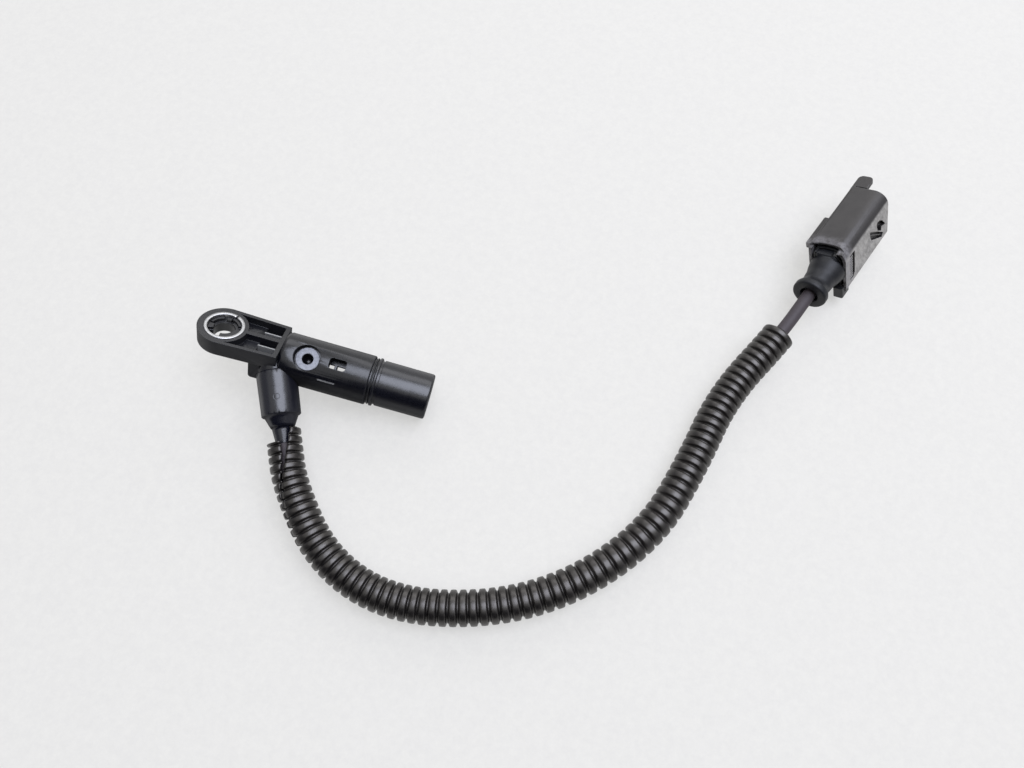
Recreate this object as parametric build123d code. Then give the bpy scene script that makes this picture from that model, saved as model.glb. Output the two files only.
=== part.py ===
"""Camshaft position sensor with a short lead in split convoluted tubing and a three-way connector.

Units are millimetres, +Z is up, and the part lies on a table as it comes to rest.
The origin is the middle of the screw bush, and +X runs along the sensor barrel's heading.
"""

import math
import os

from build123d import *

# Barrel, along its own X axis from the screw eye to the nose.
BARREL_R = 7.25
BARREL_START = 17.2
BARREL_END = 42.8
BARREL_EDGE = 1.1
BARREL_LIP = 0.2
NECK_R = 6.35
NECK_LENGTH = 1.3
NECK_END = BARREL_END + NECK_LENGTH
TONGUE_R = 5.3
TONGUE_LENGTH = 5.9
TONGUE_END = NECK_END + TONGUE_LENGTH
CAVITY_R = 4.3
CAVITY_START = 28.2
FIT = 0.05

# Nose cap.
NOSE_R = 6.7
NOSE_EDGE = 0.7
NOSE_REAR_EDGE = 0.1
NOSE_TIP_WALL = 1.4
FLANGE_R = 7.1
FLANGE_LENGTH = 0.75
FLANGE_END = NECK_END + FLANGE_LENGTH
FLANGE_EDGE = 0.15
CAP_NECK_R = 6.4
CAP_NECK_LENGTH = 0.75
CAP_NECK_END = FLANGE_END + CAP_NECK_LENGTH
NOSE_LENGTH = 14.9
NOSE_END = CAP_NECK_END + NOSE_LENGTH
WITNESS_FROM_TIP = 5.8
WITNESS_X = NOSE_END - WITNESS_FROM_TIP
WITNESS_WIDTH = 0.22
WITNESS_DEPTH = 0.12

# Thin sealing ring on the neck.
SEAL_FROM_BARREL = 0.45
SEAL_START = BARREL_END + SEAL_FROM_BARREL
SEAL_WIDTH = 0.5
SEAL_R = 6.85
SEAL_EDGE = 0.15

# Screw eye plate, turned about the barrel so that its far edge is lower.
PLATE_TURN = -33.0
PLATE_TOP = 5.3
PLATE_T = 5.0
EYE_R = 7.3
PLATE_HALF = 6.7
PLATE_END = 17.05
PLATE_EDGE = 0.25
CROSS_WALL = 1.3
SIDE_WALL = 1.0
EYE_RIM = 1.0
RIB_T = 1.3
POCKET_SHALLOW = 2.3
POCKET_STEP = 10.4
POCKET_DEEP = 3.9

# Split steel bush in the eye, and the screw retainer inside it.
BUSH_R = 5.55
BUSH_WALL = 1.0
BUSH_PROUD = 0.15
BUSH_EDGE = 0.12
BUSH_SLIT = 0.5
BUSH_SLIT_ANGLE = 68.0
SCREW_R = 2.9
RETAINER_R = BUSH_R - BUSH_WALL - FIT
WEB_TOP = 3.6
SKIRT_LOW = 0.5
GAP_FROM = 204
GAP_TO = 252
GAP_R = 4.1
LOBES = [
    (111, 166, 3.7, 4.7),
    (80, 101, 3.3, 4.6),
    (26, 76, 3.7, 4.85),
    (6, 66, SCREW_R, 4.0),
    (270, 352, SCREW_R, 5.0),
    (172, 200, SCREW_R, 4.6),
]

# Body below the plate, and the cord outlet that leaves it sideways.
BODY_START = 9.4
BODY_END = 20.0
BODY_FRONT = -5.4
BODY_BACK = 2.0
BODY_LOW = -4.6
BODY_HIGH = 3.4
EAR_END = 12.6
EAR_OUT = 6.85
EAR_THICK = 3.9
EAR_DROP = 5.2
EAR_ROUND = 0.9
OUTLET_X = 14.4
OUTLET_TURN = -65.6
BOSS_R = 5.25
BOOT_START = 5.8
BOOT_R = 5.65
BOOT_LIP = 18.5
BOOT_LIP_R = 5.42
BOOT_CONE_END = 21.8
BOOT_CONE_R = 3.3
NIPPLE_R = 3.05
NIPPLE_END_R = 2.35
NIPPLE_LENGTH = 4.6
BOOT_EDGE = 0.35
BOOT_LIP_EDGE = 0.25
BOOT_STEP = 0.5

# Round gate recess and the disc in it.
GATE_X = 24.8
GATE_R = 3.78
GATE_FLOOR = 4.3
DISC_R = 3.3
DISC_TOP = 5.15
DISC_HOLE_R = 1.6
GATE_HOLE_FLOOR = 1.6
GATE_HOLE_POINT = 1.4

# Windows through the barrel.
WINDOW_X = 33.5
WINDOW_LENGTH = 4.8
WINDOW_WIDTH = 3.15
WINDOW_Y = 0.38
WINDOW_CORNER = 0.8
UNDER_X = 32.2
UNDER_LENGTH = 8.0
UNDER_WIDTH = 5.8
UNDER_Y = 1.3

# Thin metal strips whose edges show in the pockets and in a slot of the barrel.
STRIP_T = 0.42
STRIP_START = 10.55
STRIP_BITE = 0.7
STRIP_OFF = 2.75
STRIP_DROP = 1.0
SIDE_STRIP_START = 29.1
SIDE_STRIP_LENGTH = 4.85
SIDE_STRIP_TURN = 43.0
SIDE_STRIP_T = 0.42
SIDE_STRIP_DEEP = 1.2
SIDE_STRIP_PROUD = 0.06

# Sensing parts inside the nose.
CARRIER_TIP_GAP = 0.5
CARRIER_END = NOSE_END - NOSE_TIP_WALL - CARRIER_TIP_GAP
CARRIER_HOLE_START = 29.2
CARRIER_HOLE_END = 36.6
CARRIER_HOLE_BACK = 3.5
CARRIER_HOLE_FRONT = -3.3
SHELF_START = 0.75
SHELF_END = 4.5
SHELF_LOW = 1.9
SHELF_TOP = 3.0
PILLAR_X = 32.6
PILLAR_T = 0.7
PILLAR_LOW = 0.9
LEAD_ROOM = 0.6
LEAD_FOOT = 1.0
CHIP_SIZE = (1.6, 5.2, 4.2)
CHIP_FROM_TIP = 3.0
CHIP_X = NOSE_END - CHIP_FROM_TIP
MAGNET_R = 2.6
MAGNET_LENGTH = 5.5
MAGNET_GAP = 1.2
MAGNET_START = CHIP_X - CHIP_SIZE[0] / 2 - MAGNET_GAP - MAGNET_LENGTH
CAP_SIZE = (3.2, 1.6, 1.3)
CAPACITOR_FROM_BARREL = 1.7
CAPACITOR_X = BARREL_END + CAPACITOR_FROM_BARREL
LEAD_W = 0.9
LEAD_T = 0.4
LEAD_PITCH = 1.9
LEAD_START = 37.4
LEAD_Z = 3.2

# Cord, its cores, and the split tubing over it.
CABLE_R = 1.95
TUBE_R = 5.0
TUBE_BORE_R = 3.5
CORE_R = 0.6
CORE_RING = 0.95
CABLE_IN_BOOT = 15.0
CORE_IN_HEAD = 3.0

# Connector, along its own X axis from the rear face to the mouth.
HOOD_L = 27.3
HOOD_W = 11.5
HOOD_H = 16.2
HOOD_WALL = 1.3
HOOD_EDGE = 0.9
HOOD_BIG_EDGE = 4.4
HOOD_INNER_EDGE = 0.3
MOUTH_DEPTH = 17.5
REAR_DEPTH = 8.2
REAR_WALL = 0.9
TONGUE_OUT = 5.3
TONGUE_Y = -2.55
TONGUE_W = 4.5
TONGUE_T = 1.3
TONGUE_ROUND = 1.5
CREASE_W = 0.3
CREASE_DEEP = 0.35
RAIL_START = 1.4
RAIL_END = 13.2
RAIL_OUT = 1.7
RAIL_Z = -2.1
RAIL_T = 1.9
RAIL_EDGE = 0.3
PIN_PITCH = 4.0
PIN_W = 1.5
PIN_T = 0.8
PIN_END = 18.6
PIN_ROOT = 0.6
PIN_POINT = 0.25
MID_WALL = 1.6
SCOOP_R = 12.6
SCOOP_X = -10.2
SCOOP_DEEP = 1.4
SCOOP_BEVEL = 1.4
SCOOP_BEVEL_DEEP = 0.45
CATCH = [(15.2, -5.4), (19.4, -8.7), (24.2, -13.1), (23.4, -14.4), (16.4, -9.7), (15.5, -7.8)]
CATCH_BAR = [(15.0, -6.3), (24.1, -13.8), (24.1, -14.3), (15.0, -6.8)]
CATCH_BAR_BELOW = 0.35
CATCH_DEEP = 1.1
HOOK = [(20.0, -5.6), (21.8, -6.2), (23.6, -7.8), (25.5, -10.6), (24.1, -10.1), (22.9, -9.6), (22.7, -11.2),
        (20.4, -9.2), (19.8, -7.2)]
SIDE_WINDOW = [(2.6, -3.9), (5.5, -3.9), (5.5, -12.6), (4.6, -13.9), (2.6, -13.9)]
SIDE_WINDOW_DEEP = 0.45
SIDE_SLOT = [(4.9, -3.9), (5.5, -3.9), (5.5, -12.6), (4.6, -13.9), (3.9, -13.9), (4.9, -12.4)]
RIDGES = 9
RIDGE_PITCH = 1.0
RIDGE_T = 0.5
RIDGE_TOP = -4.6
RIDGE_START = 2.6
RIDGE_END = 4.3
COVER_T = 0.5
COVER_GAP = 0.75
COVER_BEHIND = 0.35
CONN_BOOT_BACK = 12.0
CONN_BOOT_R = 5.45
CONN_SHOULDER_FIT = 0.1
CONN_PLUG_R = 2.9
CONN_NECK_R = 4.2
CONN_COLLAR_R = 5.2
CONN_RING_R = 2.85
CONN_RING_DEEP = 1.6
BOOT_FACE = -0.1
BOOT_NECK = -7.8
BODY_TO_NECK = 5.6
COLLAR_RISE = 2.4
CONN_ROUND = 0.1
CONN_AXIS_Y = -5.9
CONN_AXIS_Z = -8.1
CABLE_IN_CONN = 3.0
LOCK_T = 2.2
LOCK_FIT = 0.15
PIN_FIT = 0.2
SEAL_FIT = 0.1
SEAL_LENGTH = 3.25
ROOF_EXTRA = 0.2
COVER_LENGTH = 4.8
COVER_ROOF = 0.4
FOOT_DROP = 1.7
FOOT_BACK = 1.7
FOOT_TIP = 2.4
FOOT_NEAR = -8.0
FOOT_FAR = -11.0
FOOT_ROUND = 0.5
FOOT_GAP = 0.25

# How the head and the connector lie, in degrees and millimetres.
HEAD_PITCH = 9.7
HEAD_ROLL = 5.85
CONN_YAW = 65.56
CONN_PITCH = 3.0
CONN_ROLL = -27.0
CONN_X = 158.42
CONN_Y = 69.52

# Middle of the cord's route, where it lies between the head and the connector.
ROUTE = [
    (29.0, -36.0, -10.5),
    (43.5, -53.0, -13.4),
    (64.5, -60.0, -14.1),
    (91.0, -55.0, -14.1),
    (112.5, -43.0, -14.1),
    (129.5, -24.0, -14.1),
    (137.0, -2.5, -14.1),
    (142.5, 19.5, -13.3),
    (155.7, 41.6, -10.3),
]
ROUTE_BEFORE_HEAD = 11.4
ROUTE_BEFORE_CONN = 9.1
TUBE_GAP = 0.4
TUBE_END = 0.6
ARC_SHARE = 0.45

FROM_BASE = (Align.CENTER, Align.CENTER, Align.MIN)


def turned(x=0.0, y=0.0, z=0.0):
    """A pure turn, about X, then Y, then Z."""
    return Location((0, 0, 0), (0, 0, z)) * Location((0, 0, 0), (0, y, 0)) * Location((0, 0, 0), (x, 0, 0))


def moved(x=0.0, y=0.0, z=0.0):
    """A pure shift."""
    return Location((x, y, z))


def rod(r, x0, x1):
    """A cylinder along X."""
    return Location((x0, 0, 0), (0, 90, 0)) * Cylinder(r, x1 - x0, align=FROM_BASE)


def post(r, z0, z1, x=0.0, y=0.0):
    """A cylinder along Z."""
    return Location((x, y, z0)) * Cylinder(r, z1 - z0, align=FROM_BASE)


def block(x0, x1, y0, y1, z0, z1):
    """A box between two corners."""
    return Location(((x0 + x1) / 2, (y0 + y1) / 2, (z0 + z1) / 2)) * Box(x1 - x0, y1 - y0, z1 - z0)


def turned_profile(points):
    """A solid of revolution about X, from points of x and radius."""
    face = make_face(Polyline(*[(x, r, 0) for x, r in points], close=True))
    return revolve(face, Axis.X, 360)


def sector(r0, r1, a0, a1, z0, z1):
    """A piece of a ring about Z between two angles."""
    ring = post(r1, z0, z1) - post(r0, z0 - 1, z1 + 1)
    reach = 3 * r1
    corners = [(0, 0)]
    for k in range(5):
        a = math.radians(a0 + (a1 - a0) * k / 4)
        corners.append((reach * math.cos(a), reach * math.sin(a)))
    wedge = extrude(make_face(Polyline(*corners, close=True)), z1 - z0)
    return ring & (moved(z=z0) * wedge)


def one(shape, name):
    """The shape as a single solid, or an error that names the piece."""
    solids = shape.solids()
    if len(solids) != 1:
        raise ValueError(f"{name} has {len(solids)} solids, volumes {[round(s.volume, 2) for s in solids]}")
    return solids[0]


PLATE_AT = turned(x=PLATE_TURN)
BUSH_MID = PLATE_TOP - PLATE_T / 2
HEAD_TURN = turned(y=HEAD_PITCH) * turned(x=HEAD_ROLL)
HEAD_AT = HEAD_TURN * PLATE_AT * moved(z=-BUSH_MID) * PLATE_AT.inverse()
OUTLET_AT = moved(x=OUTLET_X) * turned(z=OUTLET_TURN)


def plate_outline(inset):
    """The eye plate's outline, drawn in by a wall."""
    r = EYE_R - inset
    half = PLATE_HALF - inset
    slope = math.asin((EYE_R - PLATE_HALF) / PLATE_END)
    start = (r * math.sin(slope), r * math.cos(slope))
    tail = make_face(
        Polyline(start, (PLATE_END, half), (PLATE_END, -half), (start[0], -start[1]), close=True)
    )
    return Circle(r) + tail


def make_housing():
    """Barrel, eye plate, body and outlet boss, moulded in one."""
    barrel = turned_profile([
        (BARREL_START, 0), (BARREL_START, BARREL_R - BARREL_EDGE),
        (BARREL_START + 0.2 * BARREL_EDGE, BARREL_R - 0.45 * BARREL_EDGE),
        (BARREL_START + 0.5 * BARREL_EDGE, BARREL_R - 0.15 * BARREL_EDGE),
        (BARREL_START + BARREL_EDGE, BARREL_R),
        (BARREL_END - BARREL_LIP, BARREL_R), (BARREL_END, BARREL_R - BARREL_LIP), (BARREL_END, NECK_R),
        (NECK_END, NECK_R), (NECK_END, TONGUE_R), (TONGUE_END, TONGUE_R), (TONGUE_END, 0),
    ])
    body = block(BODY_START, BODY_END, BODY_FRONT, BODY_BACK, BODY_LOW, BODY_HIGH)
    under = PLATE_TOP - PLATE_T
    ear = block(BODY_START, EAR_END, -EAR_OUT, EAR_THICK - EAR_OUT, under - EAR_DROP, under + 1)
    ear = fillet(ear.edges().filter_by(Axis.Y).group_by(Axis.Z)[0].group_by(Axis.X)[0], EAR_ROUND)
    boss = OUTLET_AT * rod(BOSS_R, 0, BOOT_START)
    plate = moved(z=PLATE_TOP - PLATE_T) * extrude(plate_outline(0), PLATE_T)
    plate = chamfer(plate.faces().sort_by(Axis.Z)[0].outer_wire().edges(), PLATE_EDGE)
    solid = barrel + body + boss + PLATE_AT * ear + PLATE_AT * plate

    # Weight-saving pockets on both sides of the rib.
    inner = plate_outline(SIDE_WALL)
    low = PLATE_TOP - 2 * PLATE_T
    keep = post(BUSH_R + EYE_RIM, low, PLATE_TOP + 1)
    keep += block(0, PLATE_END, -RIB_T / 2, RIB_T / 2, low, PLATE_TOP + 1)
    reach = block(0, PLATE_END - CROSS_WALL, -EYE_R, EYE_R, PLATE_TOP - POCKET_SHALLOW, PLATE_TOP + 1)
    reach += block(POCKET_STEP, PLATE_END - CROSS_WALL, -EYE_R, EYE_R, PLATE_TOP - POCKET_DEEP, PLATE_TOP + 1)
    pocket = (moved(z=low) * extrude(inner, 3 * PLATE_T)) & reach
    solid -= PLATE_AT * (pocket - keep)

    # Screw eye for the bush.
    solid -= PLATE_AT * post(BUSH_R, low, PLATE_TOP + 1)

    # Gate recess with the blind hole under its disc.
    solid -= post(GATE_R, GATE_FLOOR, BARREL_R + 1, GATE_X)
    solid -= post(DISC_HOLE_R, GATE_HOLE_FLOOR, GATE_FLOOR + 1, GATE_X)
    point = Location((GATE_X, 0, GATE_HOLE_FLOOR - GATE_HOLE_POINT))
    solid -= point * Cone(0, DISC_HOLE_R, GATE_HOLE_POINT, align=FROM_BASE)

    # Cavity for the sensing parts and the windows into it.
    solid -= rod(CAVITY_R, CAVITY_START, TONGUE_END + 1)
    window = extrude(RectangleRounded(WINDOW_LENGTH, WINDOW_WIDTH, WINDOW_CORNER), BARREL_R + 1)
    solid -= moved(WINDOW_X, WINDOW_Y) * window
    under = extrude(RectangleRounded(UNDER_LENGTH, UNDER_WIDTH, WINDOW_CORNER), -BARREL_R - 1)
    solid -= moved(UNDER_X, UNDER_Y) * under

    # Seats of the strips, the cores and the boot.
    for piece in (*make_pocket_strips(), make_side_strip(), *make_cores_head()):
        solid -= piece
    return one(solid - make_boot_envelope(), "sensor_housing")


def make_boot_envelope():
    """Outer shape of the outlet boot where it sits over the boss."""
    return OUTLET_AT * rod(BOOT_R + FIT, BOOT_START, BOOT_LIP)


def make_boot(cable):
    """Outlet boot with its lip, cone and tapered nipple, moulded round the cord."""
    shape = turned_profile([
        (BOOT_START, 0), (BOOT_START, BOOT_R - BOOT_EDGE), (BOOT_START + BOOT_EDGE, BOOT_R),
        (BOOT_LIP - BOOT_LIP_EDGE, BOOT_LIP_R), (BOOT_LIP, BOOT_LIP_R - BOOT_LIP_EDGE),
        (BOOT_LIP + 0.4 * BOOT_STEP, BOOT_LIP_R - BOOT_LIP_EDGE - BOOT_STEP),
        (BOOT_CONE_END, BOOT_CONE_R), (BOOT_CONE_END, NIPPLE_R),
        (BOOT_CONE_END + NIPPLE_LENGTH, NIPPLE_END_R), (BOOT_CONE_END + NIPPLE_LENGTH, 0),
    ])
    boot = OUTLET_AT * shape - cable
    for core in make_cores_head():
        boot -= core
    return one(boot, "outlet_boot")


def make_cores_head():
    """Three insulated cores from the cord's end into the head."""
    cores = []
    for k in range(3):
        a = math.radians(90 + 120 * k)
        at = moved(y=CORE_RING * math.cos(a), z=CORE_RING * math.sin(a))
        cores.append(OUTLET_AT * at * rod(CORE_R, CORE_IN_HEAD, CABLE_IN_BOOT))
    return cores


def make_pocket_strips():
    """Two strips on edge, one in each pocket of the plate."""
    strips = []
    for side in (1, -1):
        top = PLATE_TOP - STRIP_DROP
        y = side * STRIP_OFF
        floor = PLATE_TOP - POCKET_DEEP - STRIP_BITE
        end = PLATE_END - CROSS_WALL + STRIP_BITE
        strip = block(STRIP_START, end, y - STRIP_T / 2, y + STRIP_T / 2, floor, top)
        strips.append(PLATE_AT * strip)
    return strips


def make_side_strip():
    """Strip in the slot on the barrel's front."""
    start = SIDE_STRIP_START
    strip = block(start, start + SIDE_STRIP_LENGTH, -SIDE_STRIP_T / 2, SIDE_STRIP_T / 2,
                  BARREL_R - SIDE_STRIP_DEEP, BARREL_R + SIDE_STRIP_PROUD)
    return turned(x=SIDE_STRIP_TURN) * strip


def make_seal():
    """Thin sealing ring on the barrel's neck."""
    ring = turned_profile([
        (SEAL_START, NECK_R), (SEAL_START, SEAL_R - SEAL_EDGE), (SEAL_START + SEAL_EDGE, SEAL_R),
        (SEAL_START + SEAL_WIDTH - SEAL_EDGE, SEAL_R), (SEAL_START + SEAL_WIDTH, SEAL_R - SEAL_EDGE),
        (SEAL_START + SEAL_WIDTH, NECK_R),
    ])
    return one(ring, "seal_ring")


def make_nose():
    """Thin-walled cap that covers the sensing face."""
    bore = TONGUE_R + FIT
    cap = turned_profile([
        (NECK_END, bore), (NECK_END, FLANGE_R - FLANGE_EDGE), (NECK_END + FLANGE_EDGE, FLANGE_R),
        (FLANGE_END - FLANGE_EDGE, FLANGE_R), (FLANGE_END, FLANGE_R - FLANGE_EDGE), (FLANGE_END, CAP_NECK_R),
        (CAP_NECK_END, CAP_NECK_R), (CAP_NECK_END, NOSE_R - NOSE_REAR_EDGE),
        (CAP_NECK_END + NOSE_REAR_EDGE, NOSE_R),
        (WITNESS_X - WITNESS_WIDTH / 2, NOSE_R), (WITNESS_X, NOSE_R - WITNESS_DEPTH),
        (WITNESS_X + WITNESS_WIDTH / 2, NOSE_R),
        (NOSE_END - NOSE_EDGE, NOSE_R), (NOSE_END - 0.45 * NOSE_EDGE, NOSE_R - 0.12 * NOSE_EDGE),
        (NOSE_END - 0.12 * NOSE_EDGE, NOSE_R - 0.45 * NOSE_EDGE), (NOSE_END, NOSE_R - NOSE_EDGE),
        (NOSE_END, 0), (NOSE_END - NOSE_TIP_WALL, 0), (NOSE_END - NOSE_TIP_WALL, bore),
    ])
    return one(cap, "nose_cap")


def make_bush():
    """Rolled steel bush with its slit."""
    low = PLATE_TOP - PLATE_T - BUSH_PROUD
    high = PLATE_TOP + BUSH_PROUD
    ring = post(BUSH_R, low, high) - post(BUSH_R - BUSH_WALL, low - 1, high + 1)
    ends = ring.edges().filter_by(GeomType.CIRCLE)
    ring = chamfer(ends, BUSH_EDGE)
    slit = block(0, BUSH_R + 1, -BUSH_SLIT / 2, BUSH_SLIT / 2, low - 1, high + 1)
    return one(PLATE_AT * (ring - turned(z=BUSH_SLIT_ANGLE) * slit), "mounting_bush")


def make_retainer():
    """Lobed ring that holds the screw captive in the bush."""
    ring = post(RETAINER_R, SKIRT_LOW, WEB_TOP) - post(SCREW_R, SKIRT_LOW - 1, WEB_TOP + 1)
    ring -= sector(0.5, GAP_R, GAP_FROM, GAP_TO, SKIRT_LOW - 1, WEB_TOP + 1)
    for a0, a1, inner, top in LOBES:
        ring += sector(inner, RETAINER_R, a0, a1, SKIRT_LOW, top)
    return one(PLATE_AT * ring, "screw_retainer")


def make_disc():
    """Annular disc in the gate recess."""
    disc = post(DISC_R, GATE_FLOOR, DISC_TOP, GATE_X) - post(DISC_HOLE_R, 0, BARREL_R, GATE_X)
    return one(disc, "gate_disc")


def make_carrier():
    """Moulded carrier for the chip, magnet and leads, pierced behind the window."""
    r = CAVITY_R - FIT
    shape = rod(r, CAVITY_START + FIT, CARRIER_END)
    x0 = CARRIER_HOLE_START
    x1 = CARRIER_HOLE_END
    hole = block(x0, x1, CARRIER_HOLE_FRONT, CARRIER_HOLE_BACK, -r - 1, r + 1)
    shelf = block(x0 - 1, x1 + 1, SHELF_START, SHELF_END, SHELF_LOW, SHELF_TOP)
    pillar = block(PILLAR_X - PILLAR_T / 2, PILLAR_X + PILLAR_T / 2, -r, r, PILLAR_LOW, SHELF_TOP)
    shape -= hole - shelf - pillar
    wide = LEAD_PITCH + LEAD_ROOM
    shape -= block(LEAD_START - FIT, CHIP_X + FIT, -wide, wide, LEAD_Z - LEAD_T / 2, r + 1)
    for piece in make_inner_parts().values():
        shape -= piece
    return one(shape, "chip_carrier")


def make_inner_parts():
    """Chip, magnet, capacitor and the three leads."""
    lead_floor = LEAD_Z - LEAD_T / 2
    chip = moved(x=CHIP_X) * Box(CHIP_SIZE[0], CHIP_SIZE[1], CHIP_SIZE[2])
    magnet = rod(MAGNET_R, MAGNET_START, MAGNET_START + MAGNET_LENGTH)
    capacitor = block(CAPACITOR_X - CAP_SIZE[0] / 2, CAPACITOR_X + CAP_SIZE[0] / 2, -CAP_SIZE[1] / 2,
                      CAP_SIZE[1] / 2, lead_floor - CAP_SIZE[2], lead_floor)
    out = {"hall_chip": chip, "bias_magnet": magnet, "capacitor": capacitor}
    for k in range(3):
        y = (k - 1) * LEAD_PITCH
        end = CHIP_X - CHIP_SIZE[0] / 2
        lead = block(LEAD_START, end, y - LEAD_W / 2, y + LEAD_W / 2, lead_floor, lead_floor + LEAD_T)
        foot = CHIP_SIZE[2] / 2 - LEAD_FOOT
        lead += block(end - LEAD_T, end, y - LEAD_W / 2, y + LEAD_W / 2, foot, lead_floor + LEAD_T)
        out[f"lead_{k + 1}"] = lead
    return out


def hood_section(inset, top_inset=None):
    """The hood's section: one large rounded edge at the top right, small ones elsewhere."""
    top = inset if top_inset is None else top_inset
    y0, y1 = -HOOD_W + inset, -inset
    z0, z1 = -HOOD_H + inset, -top
    big = max(HOOD_BIG_EDGE - inset, HOOD_INNER_EDGE)
    small = max(HOOD_EDGE - inset, HOOD_INNER_EDGE)
    face = make_face(Polyline((y0, z0), (y1, z0), (y1, z1), (y0, z1), close=True))
    corners = face.vertices().sort_by_distance((y0, z1, 0))
    face = fillet(corners[0], big)
    sharp = [(y0, z0), (y1, z0), (y1, z1)]
    rest = [v for v in face.vertices() if any(math.dist((v.X, v.Y), at) < 1e-6 for at in sharp)]
    return fillet(rest, small)


def along_x(face, x0, x1):
    """A section drawn in Y and Z, extruded from x0 to x1."""
    stand = Location(Plane((x0, 0, 0), x_dir=(0, 1, 0), z_dir=(1, 0, 0)))
    return stand * extrude(face, x1 - x0)


def side_cut(points, depth):
    """A recess of a given outline in the hood's right side."""
    face = make_face(Polyline(*points, close=True))
    stand = Location(Plane((0, -HOOD_W - 1, 0), x_dir=(1, 0, 0), z_dir=(0, -1, 0)))
    return stand * extrude(face, -(depth + 1))


def pin_places():
    """Middle of each pin in the hood's section."""
    return [(-HOOD_W / 2, CONN_AXIS_Z + k * PIN_PITCH) for k in (-1, 0, 1)]


def make_pins():
    """Three flat blade pins through the hood's wall."""
    pins = []
    for y, z in pin_places():
        start = REAR_DEPTH - PIN_ROOT
        blade = block(start, PIN_END, y - PIN_W / 2, y + PIN_W / 2, z - PIN_T / 2, z + PIN_T / 2)
        pins.append(chamfer(blade.faces().sort_by(Axis.X)[-1].edges(), PIN_POINT))
    return pins


def make_cores_conn():
    """Three insulated cores from the cord's end to the pins."""
    cores = []
    for k, (y, z) in enumerate(pin_places()):
        a = math.radians((-90, 180, 90)[k])
        across = CONN_AXIS_Y + CORE_RING * math.cos(a)
        start = Vector(-CABLE_IN_CONN, across, CONN_AXIS_Z + CORE_RING * math.sin(a))
        end = Vector(REAR_DEPTH - PIN_ROOT, y, z)
        way = Plane(origin=start, z_dir=end - start)
        length = (end - start).length
        core = Location(way) * Cylinder(CORE_R, length, align=FROM_BASE)
        cores.append(core & block(-CABLE_IN_CONN, REAR_DEPTH - PIN_ROOT, -HOOD_W, 0, -HOOD_H, 0))
    return cores


def make_hood():
    """Connector housing with its tongue, rail, catch and side recesses."""
    body = along_x(hood_section(0), 0, HOOD_L)
    scoop = post(SCOOP_R, -SCOOP_DEEP, 2, SCOOP_X, -HOOD_W / 2)
    bevel = Location((SCOOP_X, -HOOD_W / 2, -SCOOP_BEVEL_DEEP)) * Cone(
        SCOOP_R, SCOOP_R + 2 * SCOOP_BEVEL, 2 * SCOOP_BEVEL_DEEP, align=FROM_BASE)
    mouth = along_x(hood_section(HOOD_WALL), HOOD_L - MOUTH_DEPTH + MID_WALL, HOOD_L + 1)
    rear = along_x(hood_section(REAR_WALL, REAR_WALL + ROOF_EXTRA), -1, REAR_DEPTH)
    near = TONGUE_Y - TONGUE_W / 2
    tongue = block(HOOD_L - HOOD_WALL, HOOD_L + TONGUE_OUT, near, near + TONGUE_W, -TONGUE_T, 0)
    ends = tongue.edges().filter_by(Axis.Z).group_by(Axis.X)[-1]
    tongue = fillet(ends, TONGUE_ROUND)
    crease = block(HOOD_L, HOOD_L + CREASE_W, near - 1, near + TONGUE_W - HOOD_EDGE, -CREASE_DEEP, 1)
    rail = block(RAIL_START, RAIL_END, -0.5, RAIL_OUT, RAIL_Z - RAIL_T / 2, RAIL_Z + RAIL_T / 2)
    rail = chamfer(rail.faces().sort_by(Axis.Y)[-1].edges(), RAIL_EDGE)
    hood = body + tongue + rail
    hood -= scoop + bevel
    hood -= crease
    hood -= mouth
    hood -= rear
    hood -= side_cut(CATCH, CATCH_DEEP)
    hood -= side_cut(HOOK, CATCH_DEEP)
    hood -= side_cut(SIDE_WINDOW, SIDE_WINDOW_DEEP)
    hood -= side_cut(SIDE_SLOT, REAR_WALL + FIT)
    for k in range(RIDGES):
        z = RIDGE_TOP - k * RIDGE_PITCH
        hood += block(RIDGE_START, RIDGE_END, -HOOD_W, -HOOD_W + SIDE_WINDOW_DEEP + FIT, z - RIDGE_T, z)
    bar = side_cut(CATCH_BAR, CATCH_DEEP + FIT)
    hood += bar & along_x(hood_section(CATCH_BAR_BELOW), HOOD_L / 3, HOOD_L)
    for pin in make_pins():
        hood -= pin
    return one(hood, "connector_housing")


def make_lock():
    """Secondary lock plate on the floor of the mouth."""
    start = HOOD_L - MOUTH_DEPTH + MID_WALL
    plate = along_x(hood_section(HOOD_WALL + LOCK_FIT), start, start + LOCK_T)
    for y, z in pin_places():
        wide = PIN_W / 2 + PIN_FIT
        tall = PIN_T / 2 + PIN_FIT
        plate -= block(start - 1, start + LOCK_T + 1, y - wide, y + wide, z - tall, z + tall)
    return one(plate, "terminal_lock")


def make_cover():
    """Rear retainer frame with its foot under the hood."""
    out = REAR_WALL + COVER_GAP
    top = out + COVER_ROOF
    frame = along_x(hood_section(out, top), 0, COVER_LENGTH)
    frame -= along_x(hood_section(out + COVER_T, top + COVER_T), -1, REAR_DEPTH)
    frame -= post(SCOOP_R - COVER_BEHIND, -top - COVER_T, 2, SCOOP_X, -HOOD_W / 2)
    foot = -HOOD_H - FOOT_DROP
    stem = block(-FOOT_BACK, -FOOT_GAP, FOOT_FAR, FOOT_NEAR, foot, -HOOD_H + out + COVER_T)
    lip = block(-FOOT_BACK, FOOT_TIP, FOOT_FAR, FOOT_NEAR, foot, -HOOD_H - FOOT_GAP)
    stem = fillet(stem.edges().filter_by(Axis.Z).group_by(Axis.X)[0], FOOT_ROUND)
    lip = fillet(lip.edges().filter_by(Axis.Z).group_by(Axis.X)[0], FOOT_ROUND)
    tab = block(-FOOT_GAP - FOOT_ROUND, 1, out - HOOD_W, FOOT_NEAR, -HOOD_H + out, -HOOD_H + out + COVER_T)
    return one(frame + stem + lip + tab, "rear_cover")


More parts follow.
